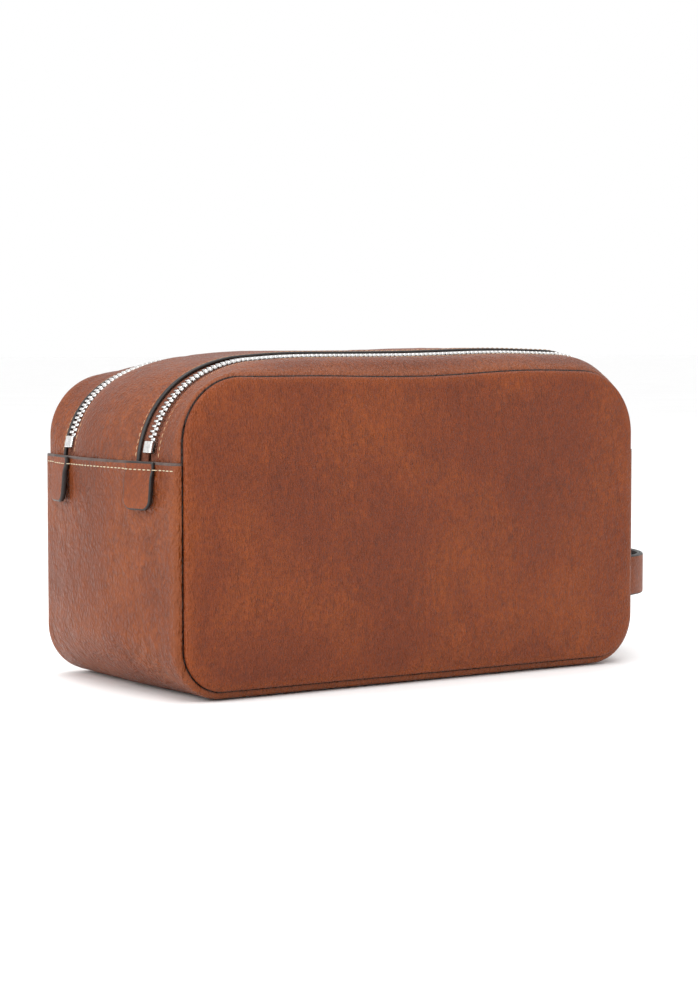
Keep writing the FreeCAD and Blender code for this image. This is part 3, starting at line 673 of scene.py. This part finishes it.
def build_panels():
    """The front and back panels: a puffed sheet whose edge rolls into the seam's groove."""
    roll_in, step, rings = PANEL_INSET + PANEL_ROLL, 1.1, 62
    profile = [(roll_in + 2, 0.3)]
    for k in range(10):
        a = math.radians(-55 + 145 * k / 9)
        profile.append((roll_in - PANEL_ROLL * math.cos(a), PANEL_OUT + PANEL_ROLL * math.sin(a)))
    for side, face in SIDES.items():
        loop = loop_at(SEAM_Y, 0.0, 360)[1:-1]
        keep = [0]
        for n in range(1, len(loop)):
            if np.linalg.norm(loop[n] - loop[keep[-1]]) > 0.2:
                keep.append(n)
        corners = loop[keep]
        dense = []
        for n, p in enumerate(corners):
            q = corners[(n + 1) % len(corners)]
            cuts = max(1, int(np.linalg.norm(q - p) / step))
            dense += [p + (q - p) * k / cuts for k in range(cuts)]
        outline = np.array(dense)
        middle = np.array([0.0, PANEL_MIDDLE])
        # Each ring's paleness from wear and painted highlight over the roll and just inside it, and painted
        # shade down in the groove below it
        rows, wear_and_painted_light = [], []
        for depth, out in profile:
            rows.append((offset_loop(outline, depth), out))
            wear_and_painted_light.append(float(ease(out, 1.6, 2.8) - (1 - ease(out, 0.6, 1.9))))
        rim = offset_loop(outline, roll_in)
        for k in range(1, rings):
            t = 1 - k / rings
            rows.append((middle + (rim - middle) * t, PANEL_OUT + PANEL_ROLL))
            wear_and_painted_light.append(max(0.0, 0.7 - k * 0.25))
        count = len(outline)
        points = []
        for n, (flat, out) in enumerate(rows):
            for x, z in flat:
                rise = 0.0
                if n >= len(profile):
                    across, up = abs(x) / PUFF_HALF[0], abs(z - PANEL_MIDDLE) / PUFF_HALF[1]
                    rise = PANEL_PUFF * max((1 - across ** 3.2) * (1 - up ** 3.2), 0) ** 0.6
                points.append((x, face * (SEAM_Y + out + rise), z))
        points = settle(np.array(points))
        shade = np.repeat(wear_and_painted_light, count)
        calm = np.clip((np.arange(len(points)) // count - len(profile) + 1) / 4, 0, 1)
        for n, p in enumerate(points):
            if calm[n] > 0:
                points[n, 1] += face * PANEL_RUFFLE * calm[n] * wrinkle((p[0] * 0.6, p[1], p[2] * 0.7), 1.0)
        faces, slots = tube_faces(len(rows), count)
        item = make_object(f"{side}_panel_leather", points, faces, slots, [PANEL], wear_and_painted_light=shade)
        finish_piece(item, "leather_panel", "bag", f"{side}_panel")


# ---------------------------------------------------------------- zips

TOOTH_STEP, FIRST_TOOTH, LAST_TOOTH = 1.25, 3.7, 5.2
TOOTH_HALF, TOOTH_HIGH = 0.74, 1.12     # half a tooth's size along the chain, and half its height
BEAD = 0.35                             # the tape's thicker inner edge, which the teeth clamp
TAPE_GAP = 0.55                         # half the gap between a zip's two tapes


def squarer(value, power):
    """A sine or cosine pulled outwards, which makes a round outline squarer."""
    return math.copysign(abs(value) ** power, value)


def chain_places():
    """Where each tooth sits along a zip, in turn for its two rows, as (x, z, turn about Y)."""
    (xl, zl), rl = LEFT_CORNER, LEFT_CHAIN_R - TOOTH_DROP
    (xr, zr), rr = CORNER, CHAIN_R - TOOTH_DROP
    start = math.asin((LEFT_STOP_Z - zl) / rl) + FIRST_TOOTH / rl
    arc_l, run, arc_r = (math.pi / 2 - start) * rl, xr - xl, math.pi / 2 * rr
    total = arc_l + run + arc_r + LAST_TOOTH
    places = []
    for n in range(int(total / TOOTH_STEP) + 1):
        s = n * TOOTH_STEP
        if s < arc_l:
            a = start + s / rl
            places.append((xl - rl * math.cos(a), zl + rl * math.sin(a), a - math.pi / 2))
        elif s < arc_l + run:
            places.append((xl + s - arc_l, zl + rl, 0.0))
        elif s < arc_l + run + arc_r:
            a = (s - arc_l - run) / rr
            places.append((xr + rr * math.sin(a), zr + rr * math.cos(a), a))
        else:
            places.append((xr + rr, zr - (s - arc_l - run - arc_r), math.pi / 2))
    return places


def tooth_shape(way):
    """One tooth: a leg that clamps the tape and a rounded head that reaches past the middle."""
    half, high = TOOTH_HALF, TOOTH_HIGH
    rings = []
    sections = ((-0.42, 0.34, 0.6), (-0.30, 0.5, 0.95), (0.3, 0.58, high), (0.8, half * 0.9, high),
                (2.3, half, high), (2.75, half * 0.94, high * 0.94), (2.95, half * 0.7, high * 0.7))
    for y, wide, tall in sections:
        ring = []
        for a in range(12):
            c, s = math.cos(a * math.pi / 6), math.sin(a * math.pi / 6)
            ring.append((wide * squarer(c, 0.42), way * y, tall * squarer(s, 0.42)))
        rings.append(ring)
    return [p for ring in rings for p in ring], tube_faces(len(rings), 12)[0]


def build_zip(side, face):
    """One zip's two tapes and two rows of teeth."""
    y0 = face * ZIP_Y
    for n, (label, way) in enumerate((("near", -1), ("far", 1))):
        inner, outer = y0 + way * TAPE_GAP, y0 + way * TAPE_HALF
        ys = np.linspace(inner, outer, 10)
        upper = [(y, TAPE_INSET + 0.75 * dip(y) - (BEAD if k == 0 else 0), 0) for k, y in enumerate(ys)]
        section = upper + [(y, inset + TAPE_THICK + (2 * BEAD if k == 0 else 0), 0)
                           for k, (y, inset, _) in list(enumerate(upper))[::-1]]
        tape = band(f"{side}_zip_{label}_tape_cloth", section, ("left", EDGE_Z - 6), ("right", EDGE_Z - 6),
                    260, [TAPE], CLOTH_RUFFLE)
        finish_piece(tape, "zip_tape", "bag", f"{side}_zip_{label}_tape")
        shape, shape_faces = tooth_shape(way)
        points, faces = [], []
        for x, z, turn in chain_places()[n::2]:
            first = len(points)
            c, s = math.cos(turn), math.sin(turn)
            for px, py, pz in shape:
                points.append((x + px * c + pz * s, y0 + py, z - px * s + pz * c))
            faces += [tuple(first + k for k in f) for f in shape_faces]
        teeth = make_object(f"{side}_zip_{label}_teeth_metal", settle(np.array(points)), faces,
                            materials=[METAL])
        finish_piece(teeth, "zip_metal", "bag", f"{side}_zip_{label}_teeth")


PLATE_RISE = 1.55           # the underside of a slider's plate above the chain's line
SLIDER_HALF = 5.5           # half the slider's length
# The plate's section as (y, height): a low crown, with a short flange down each side
PLATE = [(-4.35, -0.3), (-4.5, -0.15), (-4.5, 0.35), (-4.3, 0.68), (-3.9, 0.78), (-2, 0.86), (0, 0.88),
         (2, 0.86), (3.9, 0.78), (4.3, 0.68), (4.5, 0.35), (4.5, -0.15), (4.35, -0.3), (3.45, -0.3),
         (3.3, -0.2), (3.3, 0.0), (-3.3, 0.0), (-3.3, -0.2), (-3.45, -0.3)]
# The bridge that holds the pull: half its length, its foot and rise above the plate, and its section
BRIDGE_HALF, BRIDGE_FOOT, BRIDGE_RISE = 3.4, 0.7, 2.3
BRIDGE = ((-1, -0.4), (-1.05, 0), (-0.8, 0.4), (0, 0.5), (0.8, 0.4), (1.05, 0), (1, -0.4))
PIVOT_RISE = 1.7            # the pull's pivot above the plate's underside
PULL_TILT = 24              # degrees that the pull stands off the plate
PULL_SIDES = 72
PULL_MIDDLE, PULL_HALF, PULL_WIDE, PULL_NARROW = 7.8, 8.2, 3.1, 2.9
HOLE_MIDDLE, HOLE_HALF, HOLE_WIDE = 2.85, 2.4, 1.85


def on_corner(y0, p):
    """A point of a slider's frame (down the end, along Y, outwards) in the bag's. The slider rests at the
    end of the chain's right corner, facing outwards."""
    return (CORNER[0] + p[2], y0 + p[1], CORNER[1] - p[0])


def build_slider(side, face):
    """A zip's slider: a plate with flanges, and a bridge over it."""
    y0, plate = face * ZIP_Y, CHAIN_R + PLATE_RISE
    points = []
    xs = np.concatenate([[-SLIDER_HALF, -5.3, -4.9], np.linspace(-4.2, 4.2, 9), [4.9, 5.3, SLIDER_HALF]])
    for x in xs:
        out = abs(x) / SLIDER_HALF
        pinch = 1 - 0.10 * out ** 4 - (0.10 if x < 0 else 0.0) * out ** 2
        for y, z in PLATE:
            wide = pinch if abs(y) > 3.8 else 1.0
            points.append(on_corner(y0, (x, y * wide, plate + z * (1 - 0.12 * out ** 6 if z > 0.1 else 1))))
    faces, _ = tube_faces(len(xs), len(PLATE))
    bridge, rows = [], 15
    for k in range(rows):
        t = k / (rows - 1)
        x = BRIDGE_HALF * (2 * t - 1)
        z = plate + BRIDGE_FOOT + BRIDGE_RISE * (1 - abs(2 * t - 1) ** 4)
        bridge += [on_corner(y0, (x, y, z + dz)) for y, dz in BRIDGE]
    more, _ = tube_faces(rows, len(BRIDGE), len(points))
    body = make_object(f"{side}_slider_metal", points + bridge, faces + more, materials=[METAL])
    finish_piece(body, "zip_metal", f"{side}_slider", f"{side}_zip_slider")


def build_pull(side, face):
    """A zip's pull: a flat bar with a hole that the bridge passes through."""
    y0, pivot, tilt = face * ZIP_Y, CHAIN_R + PLATE_RISE + PIVOT_RISE, math.radians(PULL_TILT)
    points, outline, hole = [], [], []
    for k in range(PULL_SIDES):
        a = 2 * math.pi * k / PULL_SIDES
        c, s = math.cos(a), math.sin(a)
        wide = PULL_WIDE if c > 0 else PULL_NARROW
        outline.append((PULL_MIDDLE + PULL_HALF * squarer(c, 0.62), wide * squarer(s, 0.5)))
        hole.append((HOLE_MIDDLE + HOLE_HALF * squarer(c, 0.5), HOLE_WIDE * squarer(s, 0.5)))
    outline, hole = np.array(outline), np.array(hole)
    hole_edge, outer_edge = offset_loop(hole, -0.12), offset_loop(outline, 0.15)
    rings = [(hole, -0.4), (hole_edge, -0.55), (outer_edge, -0.55), (outline, -0.38),
             (outline, 0.38), (outer_edge, 0.55), (hole_edge, 0.55), (hole, 0.4)]
    for flat, h in rings:
        for x, y in flat:
            down, up = x * math.cos(tilt) - h * math.sin(tilt), x * math.sin(tilt) + h * math.cos(tilt)
            points.append(on_corner(y0, (down, y, pivot + up)))
    faces = []
    for i in range(len(rings)):
        m = (i + 1) % len(rings)
        for j in range(PULL_SIDES):
            k = (j + 1) % PULL_SIDES
            faces.append((i * PULL_SIDES + j, i * PULL_SIDES + k, m * PULL_SIDES + k, m * PULL_SIDES + j))
    pull = make_object(f"{side}_pull_metal", points, faces, materials=[METAL])
    finish_piece(pull, "zip_metal", f"{side}_pull", f"{side}_zip_pull")


# ---------------------------------------------------------------- tabs, handle and stitching

TAB_Z = 99.0                # the height of a tab's fold
TAB_CURL, TAB_TUCK = 0.9, 0.85      # how far its foot curls off the leather, and its head is pressed in
TAB_RISE = 2.0              # how far its head stands out of the end panel


def tab_frame(side, end):
    """A tab's own frame on the end panel: out of the leather, across it and up."""
    way, face = ENDS[end], SIDES[side]
    angle = math.radians(TAB_TURN * face if way > 0 else 180 - TAB_TURN * face)
    place = Matrix.Translation((way * STATIONS["zip"][0], face * ZIP_Y, TAB_Z))
    return place @ Matrix.Rotation(angle, 4, "Z")


def build_tab(side, end):
    """One zip end tab, sewn at its head and curling slightly away from the leather at its foot."""
    outline = rounded(width0=18.2, width1=18.6, low=-14.5, high=6.9, radius_low=5.0, radius_high=0.7)
    flat, faces, slots = slab(outline, thick=2.4, ease_r=0.75, centre=np.array([0.0, -4.0]))
    place = tab_frame(side, end)
    points = []
    for u, z, h in flat:
        lift = TAB_CURL * ease(-z, -2, 14) - TAB_TUCK * ease(z, -1.0, 4.0)
        out = 1.75 + lift + h * (1 - 0.25 * float(ease(z, 0.5, 5)))
        points.append(place @ Vector((float(out), u, z)))
    item = make_object(f"{side}_{end}_tab_leather", points, faces, slots, [TRIM, PAINT])
    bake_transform(item)
    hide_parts(f"{side}_{end}_tab", f"{side}_{end}_tab_head")


def build_handle():
    """The loop handle: tan leather outside, dark leather inside, painted edges."""
    base, reach, span = 128.0, 38.0, 58.0       # where the loop starts, its reach, and half its span
    middle, half = 42.5, 10.0                   # the strap's middle height, and half its width

    def sweep(name, near, far, materials, nodes):
        """One layer of the strap, from one depth in from the loop's outside to another."""
        r = min(0.75, (far - near) * 0.42)
        section = []
        for z_sign in (1, -1):
            for depth in ((near, far) if z_sign > 0 else (far, near)):
                for k in range(4):
                    a = k / 3 * math.pi / 2
                    first = (depth == near) == (z_sign > 0)
                    c, s = (math.sin(a), math.cos(a)) if not first else (math.cos(a), math.sin(a))
                    d = depth + (r - r * c if depth == near else -(r - r * c))
                    section.append((d, z_sign * (half - r + r * s)))
        points, rows = [], 121
        for k in range(rows):
            a = -math.pi / 2 + math.pi * k / (rows - 1)
            normal = np.array([math.cos(a) / reach, math.sin(a) / span])
            normal /= np.linalg.norm(normal)
            at = np.array([base - 1.0 + (reach + 1) * math.cos(a), span * math.sin(a)])
            for d, z in section:
                x, y = at - normal * d
                points.append((x, y, middle + z))
        count = len(section)
        ring = []
        for j in range(count):
            z0, z1 = section[j][1], section[(j + 1) % count][1]
            ring.append(0 if abs(z0 - z1) > 5 else 1)
        faces, slots = tube_faces(rows, count, ring_slots=ring)
        item = make_object(name, points, faces, slots, materials)
        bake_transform(item)
        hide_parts(*nodes)

    sweep("handle_outer_leather", 0.0, 1.7, [TRIM, PAINT],
          ("handle_strap", "front_handle_root", "back_handle_root"))
    sweep("handle_inner_leather", 1.72, 2.9, [DARK_TRIM, PAINT], ("handle_lining",))


EDGE_DROP = 3.6             # the stitching's depth below the painted edge
EDGE_REACH = 60.2           # how far from the bag's middle it starts
ZIP_SIDE = 2.2              # from the leather's cut edge along a zip to its stitching
PATH_POINTS = 3000


def build_zip_stitching():
    """A row of stitches along both sides of each zip."""
    for side, face in SIDES.items():
        stitches = []
        for shift in (-1, 1):
            y = face * ZIP_Y + shift * (SLOT_HALF + ZIP_SIDE)
            inset, ends = STRIP_INSET + dip(y), (("left", EDGE_Z + 1.2), ("right", EDGE_Z + 1.2))
            path = settle(trace(y, inset, *ends, PATH_POINTS))
            core = trace(y, inset + 1.0, *ends, PATH_POINTS)
            length = np.concatenate([[0], np.cumsum(np.linalg.norm(np.diff(path, axis=0), axis=1))])
            for k in range(int(length[-1] / STITCH_PITCH)):
                first = k * STITCH_PITCH + 0.4
                i, j = np.searchsorted(length, (first, first + STITCH_LONG))
                stitches.append((path[i], path[min(j, PATH_POINTS - 1)], path[i] - core[i]))
        item = thread(f"{side}_zip_thread", stitches, TAN_THREAD, ZIP_THREAD_R)
        finish_piece(item, "thread", "bag", f"{side}_zip_stitching")


def build_edge_stitching():
    """A row of stitches across each end below the painted edge, over the tabs' heads."""
    for end, way in ENDS.items():
        stitches = []
        z = EDGE_Z - EDGE_DROP
        steps = int(2 * EDGE_REACH / STITCH_PITCH)

        def surface(y):
            """A point on the leather at a depth, or on the tab's head where there is one."""
            half, top, _, left, right, _ = params_at(y)
            radius = left if way < 0 else right
            rise = max(0.0, z - (top - radius))
            x = half - radius + math.sqrt(radius ** 2 - rise ** 2)
            past = abs(y) - ZIP_Y
            head = STATIONS["zip"][0] + TAB_RISE - past * math.tan(math.radians(TAB_TURN))
            on_tab = 1 - float(ease(abs(past), 9.0, 10.2))
            quiet = (float(ease(SEAM_Y - abs(y), 0.5, 7)) * 0.8 + 0.2) * (1 - on_tab)
            point = settle(np.array([[way * (x + on_tab * max(head - x, 0.0)), y, z]]))
            return ruffle(point, GUSSET_RUFFLE, [quiet])[0]

        for k in range(steps):
            y = -EDGE_REACH + k * STITCH_PITCH
            stitches.append((surface(y), surface(y + STITCH_LONG), np.array([way, 0, 0])))
        item = thread(f"{end}_edge_thread", stitches, THREAD)
        finish_piece(item, "thread", "bag", f"{end}_edge_stitching")


def dress_frame():
    """Materials for the CAD nodes that stay."""
    cloth = ("front_panel_lining", "back_panel_lining", "divider")
    board = ("front_panel_stiffener", "back_panel_stiffener", "gusset_stiffener", "base_board")
    metal_nodes = [f"{s}_zip_{k}" for s in SIDES for k in ("bottom_stop", "top_stops")]
    for names, material in ((cloth, CLOTH), (board, BOARD), (metal_nodes, METAL)):
        for name in names:
            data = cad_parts[name].data
            data.materials.clear()
            data.materials.append(material)


# ---------------------------------------------------------------- floor, light and camera

def add_floor():
    """The white ground that the bag stands on."""
    white = plain("pale_floor", srgb(252, 252, 252), srgb(255, 255, 255), 4, 0.8)
    bpy.ops.mesh.primitive_plane_add(size=60, location=(0, 0, 0))
    floor = bpy.context.object
    floor.name = "floor"
    floor.data.materials.append(white)


def add_light(name, place, aim, size, power):
    """A white area light."""
    lamp = bpy.data.lights.new(name, "AREA")
    lamp.size, lamp.energy = size, power
    item = bpy.data.objects.new(name, lamp)
    bpy.context.scene.collection.objects.link(item)
    item.location = place
    item.rotation_euler = (Vector(aim) - Vector(place)).to_track_quat("-Z", "Y").to_euler()


def add_camera():
    """From the front left: 34.5 degrees round and 3.4 degrees down, through a long lens."""
    turn, pitch = math.radians(34.5), math.radians(3.414)
    forward = Vector((math.sin(turn) * math.cos(pitch), math.cos(turn) * math.cos(pitch), -math.sin(pitch)))
    data = bpy.data.cameras.new("camera")
    data.sensor_fit, data.sensor_height, data.sensor_width = "AUTO", 36, 36
    data.lens = 88.66
    camera = bpy.data.objects.new("camera", data)
    bpy.context.scene.collection.objects.link(camera)
    camera.location = (-0.6639, -0.96805, 0.1567)
    camera.rotation_euler = forward.to_track_quat("-Z", "Y").to_euler()
    bpy.context.scene.camera = camera


def add_studio():
    """A white surround, the floor, three soft lights and the camera."""
    world = bpy.data.worlds.new("studio")
    world.use_nodes = True
    world.node_tree.nodes["Background"].inputs["Color"].default_value = (1, 1, 1, 1)
    world.node_tree.nodes["Background"].inputs["Strength"].default_value = 1.0
    bpy.context.scene.world = world
    bpy.context.scene.view_settings.view_transform = "Standard"
    add_floor()
    add_light("key", (-0.7, -1.3, 1.5), (0, 0, 0.06), 1.1, 16)
    add_light("left", (-1.6, 0.1, 0.9), (0, 0, 0.08), 0.9, 12)
    add_light("top", (0.1, 0.3, 1.8), (0, 0, 0.1), 1.2, 12)
    add_camera()


build_gusset()
build_strips()
build_lining()
build_panels()
for side_name, side_face in SIDES.items():
    build_zip(side_name, side_face)
    build_slider(side_name, side_face)
    build_pull(side_name, side_face)
    for end_name in ENDS:
        build_tab(side_name, end_name)
build_handle()
build_zip_stitching()
build_edge_stitching()
dress_frame()
add_studio()
